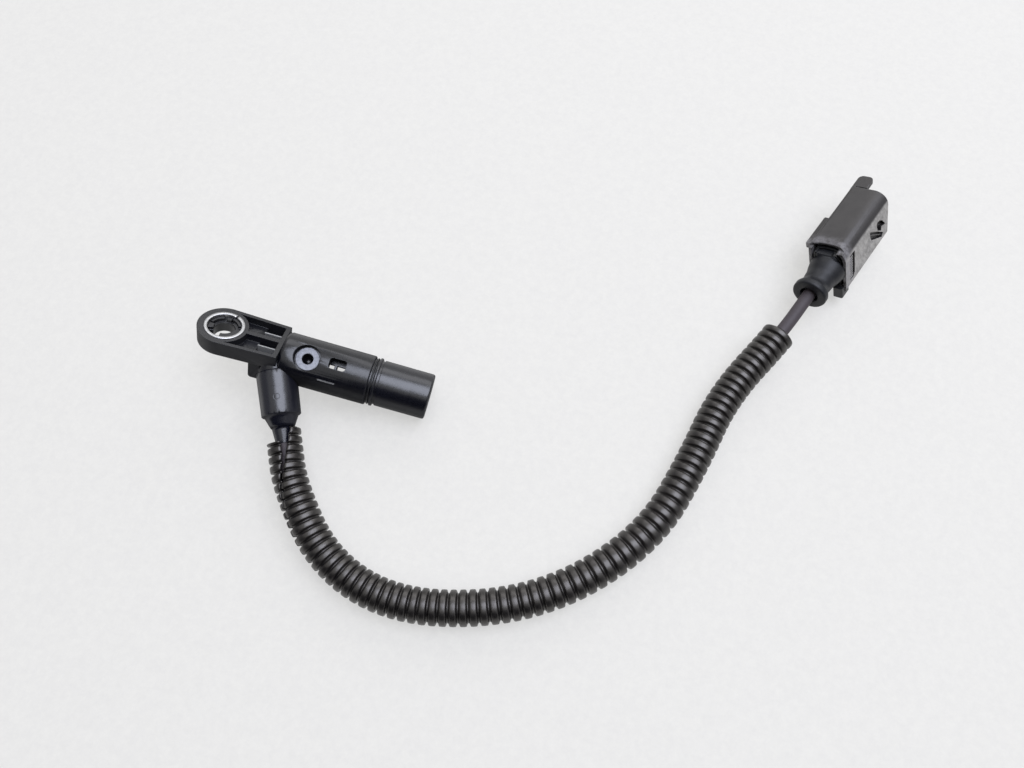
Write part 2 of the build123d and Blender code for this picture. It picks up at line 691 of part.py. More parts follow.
def make_wire_seal():
    """Soft block that seals the cores in the rear of the hood."""
    section = hood_section(REAR_WALL + SEAL_FIT, REAR_WALL + ROOF_EXTRA + SEAL_FIT)
    seal = along_x(section, REAR_DEPTH - SEAL_LENGTH - FIT, REAR_DEPTH - FIT)
    for piece in (*make_cores_conn(), *make_pins()):
        seal -= piece
    return one(seal, "wire_seal")


def make_conn_boot(cable):
    """Rubber boot behind the connector, with its flared collar."""
    body = CONN_BOOT_R
    neck = CONN_NECK_R
    collar = CONN_COLLAR_R
    front = REAR_DEPTH - SEAL_LENGTH - 2 * FIT
    end = -CONN_BOOT_BACK
    body_end = BOOT_NECK + BODY_TO_NECK
    step = CONN_ROUND
    shape = turned_profile([
        (front, 0), (front, CONN_PLUG_R), (BOOT_FACE, CONN_PLUG_R),
        (BOOT_FACE, body - 3 * step), (BOOT_FACE - step, body - step), (BOOT_FACE - 4 * step, body),
        (body_end, body - 3 * step), (body_end - 9 * step, body - 5 * step),
        (body_end - 17 * step, body - 7.5 * step), (body_end - 26 * step, body - 10 * step),
        (BOOT_NECK + 9 * step, neck + 1.2 * step), (BOOT_NECK, neck), (BOOT_NECK - 9 * step, neck + 2 * step),
        (BOOT_NECK - COLLAR_RISE + 7 * step, collar - 3.5 * step), (BOOT_NECK - COLLAR_RISE, collar),
        (end + 6 * step, collar), (end + 1.5 * step, collar - 2 * step),
        (end, collar - 6 * step), (end, CONN_RING_R),
        (end + CONN_RING_DEEP, CONN_RING_R - 3 * step), (end + CONN_RING_DEEP, 0),
    ])
    inset = REAR_WALL + COVER_GAP + COVER_T + CONN_SHOULDER_FIT
    shoulder = along_x(hood_section(inset, inset + COVER_ROOF), BOOT_FACE, front)
    shape = moved(y=CONN_AXIS_Y, z=CONN_AXIS_Z) * shape + shoulder
    for core in make_cores_conn():
        shape -= core
    return one(shape - cable, "connector_boot")


def cord_points(conn_at):
    """The cord's corner points, from inside the outlet boot to inside the connector's boot."""
    head = HEAD_AT * OUTLET_AT
    first = [(head * Pos(s, 0, 0)).position for s in (CABLE_IN_BOOT, CABLE_IN_BOOT + ROUTE_BEFORE_HEAD)]
    axis = [(conn_at * Pos(x, CONN_AXIS_Y, CONN_AXIS_Z)).position
            for x in (-CABLE_IN_CONN - ROUTE_BEFORE_CONN, -CABLE_IN_CONN)]
    return [*first, *[Vector(*p) for p in ROUTE], *axis]


def corner_radii(points):
    """The largest arc that each corner's two runs allow."""
    radii = []
    for a, b, c in zip(points, points[1:], points[2:]):
        before, after = b - a, c - b
        turn = math.radians(before.get_angle(after))
        radii.append(ARC_SHARE * min(before.length, after.length) / math.tan(turn / 2))
    return radii


def swept(points, radii, r):
    """A round rod along the cord's route."""
    path = FilletPolyline(*points, radius=radii)
    start = Plane(origin=points[0], z_dir=points[1] - points[0])
    return sweep(start * Circle(r), path=path), path


def main():
    """Build every piece, set it in place and export it."""
    os.makedirs("parts", exist_ok=True)
    pieces = {}
    pieces["sensor_housing"] = make_housing()
    pieces["nose_cap"] = make_nose()
    pieces["seal_ring"] = make_seal()
    pieces["mounting_bush"] = make_bush()
    pieces["screw_retainer"] = make_retainer()
    pieces["gate_disc"] = make_disc()
    pieces["chip_carrier"] = make_carrier()
    pieces.update(make_inner_parts())
    pieces["pocket_strip_1"], pieces["pocket_strip_2"] = make_pocket_strips()
    pieces["side_strip"] = make_side_strip()
    for k, core in enumerate(make_cores_head()):
        pieces[f"head_core_{k + 1}"] = core
    placed = {name: HEAD_AT * piece for name, piece in pieces.items()}
    floor = placed["nose_cap"].bounding_box().min.Z

    conn_turn = turned(z=CONN_YAW) * turned(y=CONN_PITCH) * turned(x=CONN_ROLL)
    hood = make_hood()
    low = (conn_turn * hood).bounding_box().min.Z
    conn_at = moved(CONN_X, CONN_Y, floor - low) * conn_turn

    points = cord_points(conn_at)
    radii = corner_radii(points)
    cable, path = swept(points, radii, CABLE_R)
    tube_outer, _ = swept(points, radii, TUBE_R)
    tube_bore, _ = swept(points, radii, TUBE_BORE_R)
    tube = tube_outer - tube_bore
    boot_end = HEAD_AT * OUTLET_AT * moved(x=BOOT_CONE_END + TUBE_GAP)
    wide = 3 * TUBE_R
    tube -= boot_end * block(-4 * TUBE_R, 0, -wide, wide, -wide, wide)
    cut_at = Vector(*ROUTE[-1])
    ahead = points[-2] - points[-4]
    tail = Location(Plane(origin=cut_at, z_dir=ahead))
    tube -= tail * block(-wide, wide, -wide, wide, TUBE_END, 8 * TUBE_R)
    placed["cable"] = cable
    placed["conduit"] = one(tube, "conduit")
    placed["outlet_boot"] = HEAD_AT * make_boot(HEAD_AT.inverse() * cable)

    near = conn_at.inverse() * cable
    conn = {
        "connector_housing": hood,
        "terminal_lock": make_lock(),
        "rear_cover": make_cover(),
        "wire_seal": make_wire_seal(),
        "connector_boot": make_conn_boot(near),
    }
    for k, pin in enumerate(make_pins()):
        conn[f"pin_{k + 1}"] = pin
    for k, core in enumerate(make_cores_conn()):
        conn[f"conn_core_{k + 1}"] = core
    placed.update({name: conn_at * piece for name, piece in conn.items()})

    print("floor", round(floor, 3), "connector at", [round(v, 3) for v in conn_at.position])
    print("radii", [round(r, 1) for r in radii])
    print("points", [[round(v, 2) for v in p] for p in points])
    print("cord", round(path.length, 1), "volume over section x length",
          round(cable.volume / (math.pi * CABLE_R ** 2 * path.length), 4))
    for name, piece in placed.items():
        solid = one(piece, name)
        export_step(solid, f"parts/{name}.step")
    print(len(placed), "nodes")


if __name__ == "__main__":
    main()
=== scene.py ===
import math

import bmesh
import bpy
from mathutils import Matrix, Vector


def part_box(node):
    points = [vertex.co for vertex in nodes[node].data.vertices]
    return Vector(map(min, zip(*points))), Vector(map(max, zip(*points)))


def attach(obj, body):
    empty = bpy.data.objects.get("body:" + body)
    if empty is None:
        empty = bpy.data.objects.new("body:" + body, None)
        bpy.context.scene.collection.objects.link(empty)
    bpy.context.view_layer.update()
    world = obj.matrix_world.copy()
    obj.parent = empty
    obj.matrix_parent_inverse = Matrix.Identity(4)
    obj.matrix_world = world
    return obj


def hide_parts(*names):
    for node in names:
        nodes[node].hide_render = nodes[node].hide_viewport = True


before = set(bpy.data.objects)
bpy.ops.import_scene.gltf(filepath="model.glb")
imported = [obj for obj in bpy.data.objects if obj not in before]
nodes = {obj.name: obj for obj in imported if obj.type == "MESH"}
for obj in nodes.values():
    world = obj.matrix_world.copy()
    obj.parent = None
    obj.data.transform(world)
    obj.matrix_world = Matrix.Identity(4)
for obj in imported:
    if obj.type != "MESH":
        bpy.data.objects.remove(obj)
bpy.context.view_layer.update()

MM = 0.001

bpy.context.scene.view_settings.view_transform = "Standard"


# Small helpers for colours, nodes and pieces.

def linear(text):
    """An sRGB hex colour as linear red, green, blue and alpha."""
    parts = [int(text[i:i + 2], 16) / 255 for i in (1, 3, 5)]
    return [c / 12.92 if c <= 0.04045 else ((c + 0.055) / 1.055) ** 2.4 for c in parts] + [1.0]


def add(tree, kind, sockets=None, **settings):
    """A node with its settings, and with its sockets set or linked."""
    made = tree.nodes.new(kind)
    for name, value in settings.items():
        setattr(made, name, value)
    for name, value in (sockets or {}).items():
        if isinstance(value, bpy.types.NodeSocket):
            tree.links.new(value, made.inputs[name])
        else:
            made.inputs[name].default_value = value
    return made


def grain(size_mm):
    """The scale at which a noise texture's features are about this many millimetres."""
    return 1.0 / (size_mm * MM)


def blank_material(name):
    """A material with an empty node tree and its output node."""
    made = bpy.data.materials.new(name)
    made.use_nodes = True
    made.node_tree.nodes.clear()
    return made, made.node_tree, made.node_tree.nodes.new("ShaderNodeOutputMaterial")


def maths(tree, operation, *values, **settings):
    """What a maths node makes of its values."""
    return add(tree, "ShaderNodeMath", dict(enumerate(values)), operation=operation, **settings).outputs["Value"]


def vectors(tree, operation, first, second=(0.0, 0.0, 0.0), result="Vector"):
    """What a vector maths node makes of its values."""
    return add(tree, "ShaderNodeVectorMath", {0: first, 1: second}, operation=operation).outputs[result]


def remap(tree, value, low, high, to_low=0.0, to_high=1.0, kind="LINEAR"):
    """A value carried over from one range to another."""
    return add(tree, "ShaderNodeMapRange", {"Value": value, "From Min": low, "From Max": high, "To Min": to_low,
                                            "To Max": to_high}, interpolation_type=kind).outputs["Result"]


def noise(tree, place, size_mm, detail, roughness=0.5):
    """Noise with features of about a size in millimetres."""
    return add(tree, "ShaderNodeTexNoise", {"Vector": place, "Scale": grain(size_mm), "Detail": detail,
                                            "Roughness": roughness}).outputs["Fac"]


def mixed(tree, share, first, second):
    """Two colours mixed by a share of the second."""
    return add(tree, "ShaderNodeMix", {0: share, "A": first, "B": second}, data_type="RGBA").outputs["Result"]


def painted_reflection_on_face(tree, place, true, colour, face):
    """A painted reflection on one outer face: pale, in long streaks, where that face catches the light."""
    facing, reach_mm, pale, amount, heading = face
    on_face = remap(tree, vectors(tree, "DOT_PRODUCT", true, facing, "Value"), 0.75, 0.99, 0.0, amount)
    outside = remap(tree, vectors(tree, "DOT_PRODUCT", place, facing, "Value"), (reach_mm - 0.35) * MM,
                    (reach_mm - 0.1) * MM)
    run = add(tree, "ShaderNodeMapping", {"Vector": place, "Rotation": (0, 0, -heading), "Scale": (0.3, 1.0, 1.0)},
              vector_type="TEXTURE").outputs["Vector"]
    streaky = remap(tree, noise(tree, run, 3.2, 4.0, 0.65), 0.3, 0.62, 0.4, 1.0)
    share = maths(tree, "MULTIPLY", maths(tree, "MULTIPLY", on_face, outside), streaky)
    return mixed(tree, share, colour, linear(pale))


def paler_towards_end(tree, place, colour, end):
    """Uneven pale patches that thicken towards one end."""
    ending, end_mm, fade_mm, pale, amount = end
    close_by = remap(tree, vectors(tree, "DOT_PRODUCT", place, ending, "Value"), (end_mm - fade_mm) * MM,
                     end_mm * MM, 0.0, amount, "SMOOTHSTEP")
    uneven_share = remap(tree, noise(tree, place, 1.8, 5.0, 0.7), 0.35, 0.6)
    return mixed(tree, maths(tree, "MULTIPLY", close_by, uneven_share), colour, linear(pale))


def pressed_ring(tree, place, height, relief_mm, ring):
    """A height with a fine ring pressed into it."""
    centre, axis, radius_mm, width_mm, deep_mm = ring
    from_centre = vectors(tree, "SUBTRACT", place, [c * MM for c in centre])
    off_axis = vectors(tree, "LENGTH", vectors(tree, "CROSS_PRODUCT", from_centre, axis), result="Value")
    off_ring = maths(tree, "ABSOLUTE", maths(tree, "SUBTRACT", off_axis, radius_mm * MM))
    dip = remap(tree, off_ring, 0.0, width_mm * MM, -deep_mm / relief_mm, 0.0, "SMOOTHSTEP")
    return maths(tree, "ADD", height, dip)


def moulded(name, dark, light, rough, grit_mm, relief_mm, scuff=0.0, worn="#3a3b40", edge_mm=0.25,
            specular=0.5, glint="#ffffff", spread=0.05, sides=0.0, dulled=0.0, painted_reflection_face=None,
            pale_end_fade=None, ring_mark=None):
    """Moulded polymer: a little colour drift, satin gloss, fine grit and paler worn edges.

    Upright faces can be coarser and duller than the top, one face can carry a painted pale reflection in
    long streaks, one end can turn paler, and a fine ring can be pressed in.
    """
    made, tree, out = blank_material(name)
    place = add(tree, "ShaderNodeTexCoord").outputs["Object"]
    colour = mixed(tree, noise(tree, place, 7.0, 4.0, 0.6), linear(dark), linear(light))
    # Paler where corners are rubbed, read from how far a rounded normal leaves the true one.
    soft = add(tree, "ShaderNodeBevel", {"Radius": edge_mm * MM}, samples=4).outputs["Normal"]
    true = add(tree, "ShaderNodeNewGeometry").outputs["Normal"]
    rubbed = remap(tree, vectors(tree, "DOT_PRODUCT", soft, true, "Value"), 0.995, 0.86)
    patchy = remap(tree, noise(tree, place, 1.6, 3.0), 0.35, 0.7)
    wear = maths(tree, "MULTIPLY", maths(tree, "MULTIPLY", rubbed, patchy), scuff)
    colour = mixed(tree, wear, colour, linear(worn))
    # Painted reflection: one face turned pale in long streaks, standing in for the light that it catches.
    if painted_reflection_face:
        colour = painted_reflection_on_face(tree, place, true, colour, painted_reflection_face)
    # Paler towards one end, in uneven patches.
    if pale_end_fade:
        colour = paler_towards_end(tree, place, colour, pale_end_fade)
    gloss = remap(tree, noise(tree, place, 3.0, 6.0, 0.65), 0.3, 0.7, rough - spread, rough + spread)
    shine = specular
    if sides:
        upward = add(tree, "ShaderNodeSeparateXYZ", {0: true}).outputs["Z"]
        gloss = maths(tree, "ADD", gloss, remap(tree, upward, 0.75, 0.2, 0.0, sides, "SMOOTHSTEP"))
        shine = remap(tree, upward, 0.75, 0.2, specular, specular * (1.0 - dulled), "SMOOTHSTEP")
    height = noise(tree, place, grit_mm, 2.0)
    if ring_mark:
        height = pressed_ring(tree, place, height, relief_mm, ring_mark)
    bump = add(tree, "ShaderNodeBump", {"Strength": 0.6, "Distance": relief_mm * MM, "Height": height,
                                        "Normal": soft})
    body = add(tree, "ShaderNodeBsdfPrincipled", {"Base Color": colour, "Roughness": gloss, "IOR": 1.5,
                                                  "Specular IOR Level": shine, "Specular Tint": linear(glint),
                                                  "Normal": bump.outputs["Normal"]})
    tree.links.new(body.outputs["BSDF"], out.inputs["Surface"])
    return made


def metal(name, dark, light, rough, scratch_mm, metallic=1.0, cloud_mm=1.2):
    """Bare metal with fine scratches and a patchy polish."""
    made, tree, out = blank_material(name)
    place = add(tree, "ShaderNodeTexCoord").outputs["Object"]
    tone = mixed(tree, noise(tree, place, cloud_mm, 5.0, 0.7), linear(dark), linear(light))
    line = noise(tree, place, scratch_mm, 3.0)
    gloss = remap(tree, line, 0.3, 0.7, rough - 0.08, rough + 0.1)
    soft = add(tree, "ShaderNodeBevel", {"Radius": 0.06 * MM}, samples=4)
    bump = add(tree, "ShaderNodeBump", {"Strength": 0.35, "Distance": 0.02 * MM, "Height": line,
                                        "Normal": soft.outputs["Normal"]})
    body = add(tree, "ShaderNodeBsdfPrincipled", {"Base Color": tone, "Metallic": metallic, "Roughness": gloss,
                                                  "Normal": bump.outputs["Normal"]})
    tree.links.new(body.outputs["BSDF"], out.inputs["Surface"])
    return made


# Glass-filled nylon from a spark-eroded mould: near black, cool sheen, fibres just under the skin.
housing_nylon = moulded("glass_filled_nylon", "#08080d", "#0c0d14", 0.27, 0.16, 0.014, scuff=0.5, specular=0.58,
                        sides=0.48, dulled=0.45)
# The same kind of nylon from a polished mould: smoother and glossier.
cap_nylon = moulded("polished_nylon", "#08090f", "#0d0e17", 0.27, 0.3, 0.004, scuff=0.35, specular=0.7,
                    spread=0.015, sides=0.35, dulled=0.4)
# Soft overmoulding of the cord outlet: satin, with faint marks of handling.
boot_moulding = moulded("overmoulded_elastomer", "#070812", "#0b0d19", 0.27, 0.2, 0.008, scuff=0.3, specular=0.72,
                        spread=0.02, sides=0.4, dulled=0.5,
                        ring_mark=((20.11, -14.35, -1.66), (0.1676, -0.1019, 0.9806), 0.8, 0.16, 0.05))
# Extruded and vacuum-formed polyamide of the tubing: brownish black, with satin ridges.
tubing_nylon = moulded("convoluted_polyamide", "#0a0909", "#110f10", 0.35, 0.25, 0.012, scuff=0.25, specular=0.86,
                       glint="#fbf5ef")
# Jacket of the cord: extruded, matte grey, dusty.
cord_jacket = moulded("cord_jacket", "#3b3538", "#474144", 0.6, 0.22, 0.015, scuff=0.0, specular=0.35)
# Connector: glass-filled polyester, matte dark grey that scuffs pale at its edges. Its right face carries a
# painted pale reflection in long streaks, and the connector turns paler towards its rear end. The right face and
# the rear end are given by their headings and by how far they lie along them, in millimetres.
RIGHT_FACE = (0.821, -0.347, 0.4534)
RIGHT_FACE_AT = 115.8
REAR_END = (-0.4126, -0.9092, 0.0523)
REAR_END_AT = -129.8
connector_polyester = moulded("glass_filled_polyester", "#131213", "#282627", 0.48, 0.18, 0.016, scuff=0.75,
                              worn="#8a8888", edge_mm=0.27, specular=0.64, glint="#fcf8f4",
                              painted_reflection_face=(RIGHT_FACE, RIGHT_FACE_AT, "#96938e", 1.0, math.radians(65.6)),
                              pale_end_fade=(REAR_END, REAR_END_AT, 5.0, "#747274", 1.0))
cover_polyester = moulded("cover_polyester", "#0d0d0f", "#141416", 0.45, 0.18, 0.015, scuff=0.4, specular=0.5)
# Screw retainer: plain nylon, a shade greyer than the housing round it.
retainer_nylon = moulded("plain_nylon", "#0f0f11", "#19191c", 0.38, 0.16, 0.01, scuff=0.6, specular=0.55)
# Rubber boot behind the connector: matte, slightly blue-black.
connector_rubber = moulded("chloroprene_rubber", "#0c0d11", "#131419", 0.46, 0.2, 0.012, scuff=0.2, specular=0.36)
seal_silicone = moulded("seal_silicone", "#141416", "#1c1c1f", 0.5, 0.2, 0.01)
core_sleeve = moulded("core_sleeve", "#2c2c2f", "#363639", 0.45, 0.2, 0.005)
chip_epoxy = moulded("chip_epoxy", "#17171a", "#1f1f22", 0.55, 0.12, 0.01)
sintered_ferrite = moulded("sintered_ferrite", "#2b2724", "#35302c", 0.6, 0.1, 0.01)
fired_ceramic = moulded("fired_ceramic", "#8a7358", "#9a8264", 0.45, 0.1, 0.004)
# Rolled low-carbon steel with a bright finish, turned smooth on its rim.
bush_steel = metal("rolled_steel", "#a8a8a9", "#c6c6c7", 0.34, 0.12)
# Ground disc, dulled and flecked.
disc_steel = metal("ground_disc", "#26272a", "#999ba1", 0.42, 0.1, metallic=0.6, cloud_mm=0.5)
# Strips in the pockets and on the side: pale grey, only a little metallic and mostly diffuse, so that their edges
# show as thin bright lines under any light. This is partly the strips' own colour and partly a painted highlight.
strip_metal_and_painted_highlight = metal("strip_edge_with_painted_highlight", "#7c7c7c", "#909090", 0.45, 0.1, metallic=0.3)
tinned_bronze = metal("tinned_bronze", "#a9a49a", "#bdb8ae", 0.3, 0.1)
lead_alloy = metal("lead_alloy", "#b08a66", "#c79f78", 0.32, 0.1)


def shade(obj, material):
    """Gives an object one material."""
    obj.data.materials.clear()
    obj.data.materials.append(material)
    return obj


def dressed(node, material, edge_mm=0.0, sharp=32.0):
    """A merged copy of a CAD node with rounded edges and smooth curves, which stands for the node."""
    source = nodes[node]
    mesh = source.data.copy()
    made = bmesh.new()
    made.from_mesh(mesh)
    bmesh.ops.remove_doubles(made, verts=made.verts, dist=2e-6)
    if edge_mm:
        bmesh.ops.dissolve_limit(made, angle_limit=math.radians(0.1), verts=made.verts, edges=made.edges)
    made.to_mesh(mesh)
    made.free()
    mesh.name = node + "_skin"
    obj = bpy.data.objects.new(node + "_skin", mesh)
    bpy.context.scene.collection.objects.link(obj)
    mesh.shade_smooth()
    mesh.set_sharp_from_angle(angle=math.radians(sharp))
    if edge_mm:
        bevel = obj.modifiers.new("rounded", "BEVEL")
        bevel.width = edge_mm * MM
        bevel.segments = 2
        bevel.limit_method = "ANGLE"
        bevel.angle_limit = math.radians(sharp)
        bevel.harden_normals = True
        bevel.use_clamp_overlap = True
    else:
        even = obj.modifiers.new("even_normals", "WEIGHTED_NORMAL")
        even.weight = 80
        even.keep_sharp = True
    shade(obj, material)
    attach(obj, "root")
    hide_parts(node)
    return obj


# Camera at the photograph's view: 70 degrees above the table, 27 mm lens on a 36 mm sensor.
camera_data = bpy.data.cameras.new("photo_camera")
camera_data.sensor_width = 36.0
camera_data.lens = 27.04
camera_data.clip_start = 0.01
camera = bpy.data.objects.new("photo_camera", camera_data)
camera.location = (0.09967, -0.06669, 0.19928)
camera.rotation_euler = (math.radians(20.0), 0.0, math.radians(13.56))
bpy.context.scene.collection.objects.link(camera)
bpy.context.scene.camera = camera

# The cord's route, the same points as in the part's source, in metres.
CORD_POINTS = [
    (0.01965, -0.01487, -0.00730),
    (0.02411, -0.02519, -0.00914),
    (0.0290, -0.0360, -0.0105),
    (0.0435, -0.0530, -0.0134),
    (0.0645, -0.0600, -0.0141),
    (0.0910, -0.0550, -0.0141),
    (0.1125, -0.0430, -0.0141),
    (0.1295, -0.0240, -0.0141),
    (0.1370, -0.0025, -0.0141),
    (0.1425, 0.0195, -0.0133),
    (0.1557, 0.0416, -0.0103),
    (0.16146, 0.05461, -0.00750),
    (0.16522, 0.06288, -0.00798),
]
CORD_RADIUS = 1.95 * MM
TUBE_START = 7.2
TUBE_LENGTH = 206.8
TUBE_RIDGE = 4.85
TUBE_VALLEY = 4.05
TUBE_WALL = 0.35
# Across half a rib: the share that is ridge, the share where the valley begins, and the ridge's crown.
RIDGE_UP_TO = 0.55
VALLEY_FROM = 0.88
RIDGE_CROWN = 0.16
# How far the near end is snipped back, and over which share of the way round.
SNIP = 4.0
SNIP_ROUND = 0.55


# The cord lies against the top of the tubing's bore next to the head.
CORD_LIFT = {2: 0.0013, 3: 0.0013}


def route_curve(name, lift=None):
    """The route's smooth centreline as a NURBS curve, with some of its points lifted."""
    data = bpy.data.curves.new(name, "CURVE")
    data.dimensions = "3D"
    data.resolution_u = 24
    spline = data.splines.new("NURBS")
    spline.points.add(len(CORD_POINTS) - 1)
    for k, (x, y, z) in enumerate(CORD_POINTS):
        spline.points[k].co = (x, y, z + (lift or {}).get(k, 0.0), 1.0)
    spline.order_u = 3
    spline.use_endpoint_u = True
    obj = bpy.data.objects.new(name, data)
    bpy.context.scene.collection.objects.link(obj)
    return obj


cord = route_curve("cable_jacket", CORD_LIFT)
cord.data.bevel_depth = CORD_RADIUS
cord.data.bevel_resolution = 6
cord.data.use_fill_caps = True
shade(cord, cord_jacket)
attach(cord, "root")
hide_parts("cable")


def route_line():
    """The route's points, read from its curve without any thickness."""
    line = route_curve("route_line")
    mesh = bpy.data.meshes.new_from_object(line.evaluated_get(bpy.context.evaluated_depsgraph_get()))
    points = [v.co.copy() for v in mesh.vertices]
    bpy.data.objects.remove(line)
    bpy.data.meshes.remove(mesh)
    return points


# Rib spacing of the tubing along its length, in millimetres: stretched on the outside of the bend.
RIB_SPACING = [(0, 2.50), (20, 2.48), (55, 2.52), (75, 2.66), (95, 2.84), (110, 3.00), (126, 3.14), (140, 3.02),
               (150, 2.86), (160, 2.66), (175, 2.50), (190, 2.46), (209, 2.45)]
# Where the slit faces: degrees from straight up towards the outside of the bend, along the length.
SLIT_FACING = [(0, -18), (7.5, -6), (13, 12), (17.5, 32), (22, 46), (28, 62), (45, 84), (70, 104), (120, 140),
               (209, 170)]
# How far the slit stands open, in degrees.
SLIT_OPEN = [(0, 46), (5, 26), (10, 11), (15, 8), (20, 6), (28, 4), (40, 2.4), (209, 2.4)]


def between(table, at):
    """A value between two rows of a table."""
    for (x0, y0), (x1, y1) in zip(table, table[1:]):
        if at <= x1:
            return y0 + (y1 - y0) * (at - x0) / (x1 - x0)
    return table[-1][1]


def rib_places(length):
    """Where each rib's middle falls: the number of ribs and pairs of share of ribs and share of length."""
    steps = 416
    count = 0.0
    rows = [(0.0, 0.0)]
    for k in range(steps):
        count += length / steps / between(RIB_SPACING, (k + 0.5) * length / steps)
        rows.append((count, (k + 1) / steps))
    ribs = round(count)
    return ribs, [(c / count, x) for c, x in rows]


def shape_curve(curve_node, rows, low, high):
    """Sets a float curve to rows of place and value, both as shares of their range."""
    line = curve_node.mapping.curves[0]
    shares = [(x, (y - low) / (high - low)) for x, y in rows]
    line.points[0].location = shares[0]
    line.points[1].location = shares[-1]
    for share in shares[1:-1]:
        line.points.new(*share)
    curve_node.mapping.update()


def tube_tree(length):
    """Geometry nodes that wrap a corrugated, split tube round a curve."""
    tree = bpy.data.node_groups.new("split_convoluted_tube", "GeometryNodeTree")
    face = tree.interface
    face.new_socket("Curve", in_out="INPUT", socket_type="NodeSocketGeometry")
    for name, value in (("Start", TUBE_START * MM), ("Length", length * MM), ("Ridge radius", TUBE_RIDGE * MM),
                        ("Valley radius", TUBE_VALLEY * MM)):
        socket = face.new_socket(name, in_out="INPUT", socket_type="NodeSocketFloat")
        socket.default_value = value
    for name, value in (("Ribs", 77), ("Rings a rib", 16), ("Sides", 36)):
        socket = face.new_socket(name, in_out="INPUT", socket_type="NodeSocketInt")
        socket.default_value = value
    face.new_socket("Material", in_out="INPUT", socket_type="NodeSocketMaterial")
    face.new_socket("Tube", in_out="OUTPUT", socket_type="NodeSocketGeometry")
    given = tree.nodes.new("NodeGroupInput").outputs

    def scaled(vector, size):
        return add(tree, "ShaderNodeVectorMath", {0: vector, "Scale": size}, operation="SCALE").outputs["Vector"]

    rings = maths(tree, "ADD", maths(tree, "MULTIPLY", given["Ribs"], given["Rings a rib"]), 1.0)
    grid = add(tree, "GeometryNodeMeshGrid", {"Size X": 1.0, "Size Y": 1.0, "Vertices X": rings,
                                              "Vertices Y": given["Sides"]})
    spot = add(tree, "ShaderNodeSeparateXYZ", {0: tree.nodes.new("GeometryNodeInputPosition").outputs[0]})
    along = maths(tree, "ADD", spot.outputs["X"], 0.5)
    round_share = maths(tree, "ADD", spot.outputs["Y"], 0.5)

    ribs, rows = rib_places(length)
    spread = add(tree, "ShaderNodeFloatCurve", {"Value": along})
    shape_curve(spread, rows[::16], 0.0, 1.0)
    share = spread.outputs["Value"]
    place = add(tree, "GeometryNodeSampleCurve",
                {"Curves": add(tree, "GeometryNodeSetCurveNormal", {"Curve": given["Curve"]},
                               mode="Z_UP").outputs["Curve"],
                 "Length": maths(tree, "MULTIPLY_ADD", share, given["Length"], given["Start"])}, mode="LENGTH")

    facing = add(tree, "ShaderNodeFloatCurve", {"Value": share})
    shape_curve(facing, [(x / length, y) for x, y in SLIT_FACING if x < length] + [(1.0, 170)], -20.0, 180.0)
    opening = add(tree, "ShaderNodeFloatCurve", {"Value": share})
    shape_curve(opening, [(x / length, y) for x, y in SLIT_OPEN if x < length] + [(1.0, 2.4)], 0.0, 50.0)
    slit = maths(tree, "MULTIPLY_ADD", facing.outputs["Value"], math.radians(200.0), math.radians(-20.0))
    gape = maths(tree, "MULTIPLY", opening.outputs["Value"], math.radians(50.0))
    whole = maths(tree, "SUBTRACT", 2 * math.pi, gape)
    far_lip = maths(tree, "ADD", slit, maths(tree, "MULTIPLY", gape, 0.5))
    angle = maths(tree, "ADD", far_lip, maths(tree, "MULTIPLY", whole, round_share))

    # Rib profile: a broad ridge with round shoulders, and a narrow valley.
    phase = maths(tree, "FRACT", maths(tree, "MULTIPLY", along, given["Ribs"]))
    off = maths(tree, "MULTIPLY", maths(tree, "ABSOLUTE", maths(tree, "SUBTRACT", phase, 0.5)), 2.0)
    wall = remap(tree, off, RIDGE_UP_TO, VALLEY_FROM, given["Ridge radius"], given["Valley radius"], "SMOOTHSTEP")
    crown = maths(tree, "MULTIPLY", maths(tree, "MULTIPLY", off, off), RIDGE_CROWN * MM)
    radius = maths(tree, "SUBTRACT", wall, crown)

    up = vectors(tree, "CROSS_PRODUCT", place.outputs["Normal"], place.outputs["Tangent"])
    out_part = scaled(place.outputs["Normal"], maths(tree, "MULTIPLY", radius, maths(tree, "SINE", angle)))
    up_part = scaled(up, maths(tree, "MULTIPLY", radius, maths(tree, "COSINE", angle)))
    spot_at = vectors(tree, "ADD", place.outputs["Position"], vectors(tree, "ADD", out_part, up_part))
    # The near end is snipped back on the outer side of the slit.
    snip = add(tree, "FunctionNodeBooleanMath",
               {0: add(tree, "FunctionNodeCompare", {"A": share, "B": SNIP / length},
                       operation="LESS_THAN").outputs["Result"],
                1: add(tree, "FunctionNodeCompare", {"A": round_share, "B": SNIP_ROUND},
                       operation="LESS_THAN").outputs["Result"]}, operation="AND")
    kept = add(tree, "GeometryNodeDeleteGeometry", {"Geometry": grid.outputs["Mesh"],
                                                    "Selection": snip.outputs["Boolean"]}, domain="POINT")
    wrapped = add(tree, "GeometryNodeSetPosition", {"Geometry": kept.outputs["Geometry"], "Position": spot_at})
    whole_mesh = add(tree, "GeometryNodeRealizeInstances", {"Geometry": wrapped.outputs["Geometry"]})
    painted = add(tree, "GeometryNodeSetMaterial", {"Geometry": whole_mesh.outputs["Geometry"],
                                                    "Material": given["Material"]})
    add(tree, "NodeGroupOutput", {"Tube": painted.outputs["Geometry"]})
    return tree, ribs


